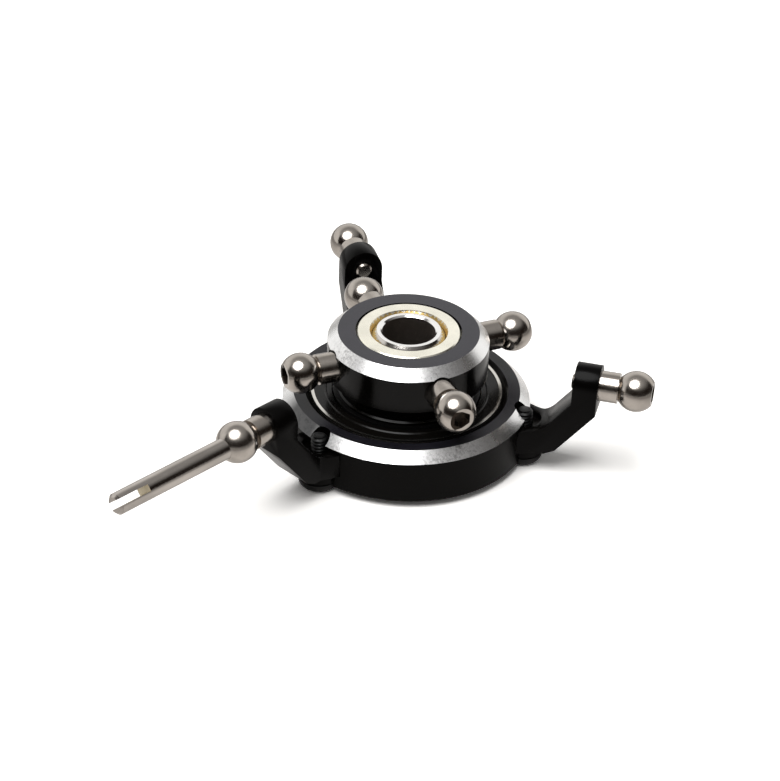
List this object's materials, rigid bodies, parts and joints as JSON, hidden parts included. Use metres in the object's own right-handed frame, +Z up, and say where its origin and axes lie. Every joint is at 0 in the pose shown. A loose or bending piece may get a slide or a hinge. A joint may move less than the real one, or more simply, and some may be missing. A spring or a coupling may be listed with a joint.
{
  "type": "helicopter swashplate",
  "caption": "Swashplate for a model helicopter: a ringed bearing joins a turning hub with link balls to a fixed lower ring with ball arms and an anti-rotation pin.",
  "frame": {"origin": "centre of the pivot ball, about which the swashplate tilts on the main shaft", "axes": "+Z up the main shaft towards the rotor; the anti-rotation arm points along -Y"},
  "size_m": [0.0412, 0.0484, 0.0119],
  "materials": {
    "black_anodised_turned": "black anodised, with the top edge turned bare and bright",
    "black_anodised": "black anodised, satin",
    "black_steel": "black oxide",
    "polished_steel": "polished nickel-plated steel",
    "pivot_steel": "polished, bore honed",
    "liner_brass": "pale gold, turned",
    "bearing_steel": "ground bearing steel",
    "cage_brass": "plain",
    "seal_rubber": "moulded black",
    "spring_steel": "dark spring steel"
  },
  "bodies": {
    "lower_swashplate": {"lower_ring": "black_anodised_turned", "bearing_outer_race": "bearing_steel", "bearing_upper_seal": "seal_rubber", "bearing_lower_seal": "seal_rubber", "arm_anti_rotation": "black_anodised", "arm_right": "black_anodised", "arm_left": "black_anodised", "arm_screw_anti_rotation": "black_steel", "arm_screw_right": "black_steel", "arm_screw_left": "black_steel", "arm_ball_stud_right": "polished_steel", "arm_ball_stud_left": "polished_steel", "anti_rotation_pin": "polished_steel"},
    "rotating_hub": {"hub": "black_anodised_turned", "bearing_inner_race": "bearing_steel", "hub_snap_ring": "spring_steel", "liner_snap_ring": "spring_steel", "hub_ball_stud_1": "polished_steel", "hub_ball_stud_2": "polished_steel", "hub_ball_stud_3": "polished_steel", "hub_ball_stud_4": "polished_steel"},
    "ball_cage": {"bearing_cage": "cage_brass", "bearing_ball_01": "bearing_steel", "bearing_ball_02": "bearing_steel", "bearing_ball_03": "bearing_steel", "bearing_ball_04": "bearing_steel", "bearing_ball_05": "bearing_steel", "bearing_ball_06": "bearing_steel", "bearing_ball_07": "bearing_steel", "bearing_ball_08": "bearing_steel", "bearing_ball_09": "bearing_steel", "bearing_ball_10": "bearing_steel", "bearing_ball_11": "bearing_steel", "bearing_ball_12": "bearing_steel"},
    "liner": {"liner_upper": "liner_brass", "liner_lower": "liner_brass"},
    "pivot": {"pivot_ball": "pivot_steel"}
  },
  "joints": [
    {"name": "hub_spin", "type": "hinge", "parent": "lower_swashplate", "child": "rotating_hub", "pos_m": [0, 0, -0.0057], "axis": [0, 0, 1], "continuous": true},
    {"name": "cage_spin", "type": "hinge", "parent": "lower_swashplate", "child": "ball_cage", "pos_m": [0, 0, -0.0057], "axis": [0, 0, 1], "continuous": true},
    {"name": "liner_turn", "type": "hinge", "parent": "rotating_hub", "child": "liner", "pos_m": [0, 0, 0], "axis": [0, 0, 1], "continuous": true},
    {"name": "ball_tilt", "type": "hinge", "parent": "liner", "child": "pivot", "pos_m": [0, 0, 0], "axis": [1, 0, 0], "range_deg": [-15, 15]}
  ],
  "couplings": [
    {"joint": "cage_spin", "follows": "hub_spin", "ratio": 0.44707}
  ]
}
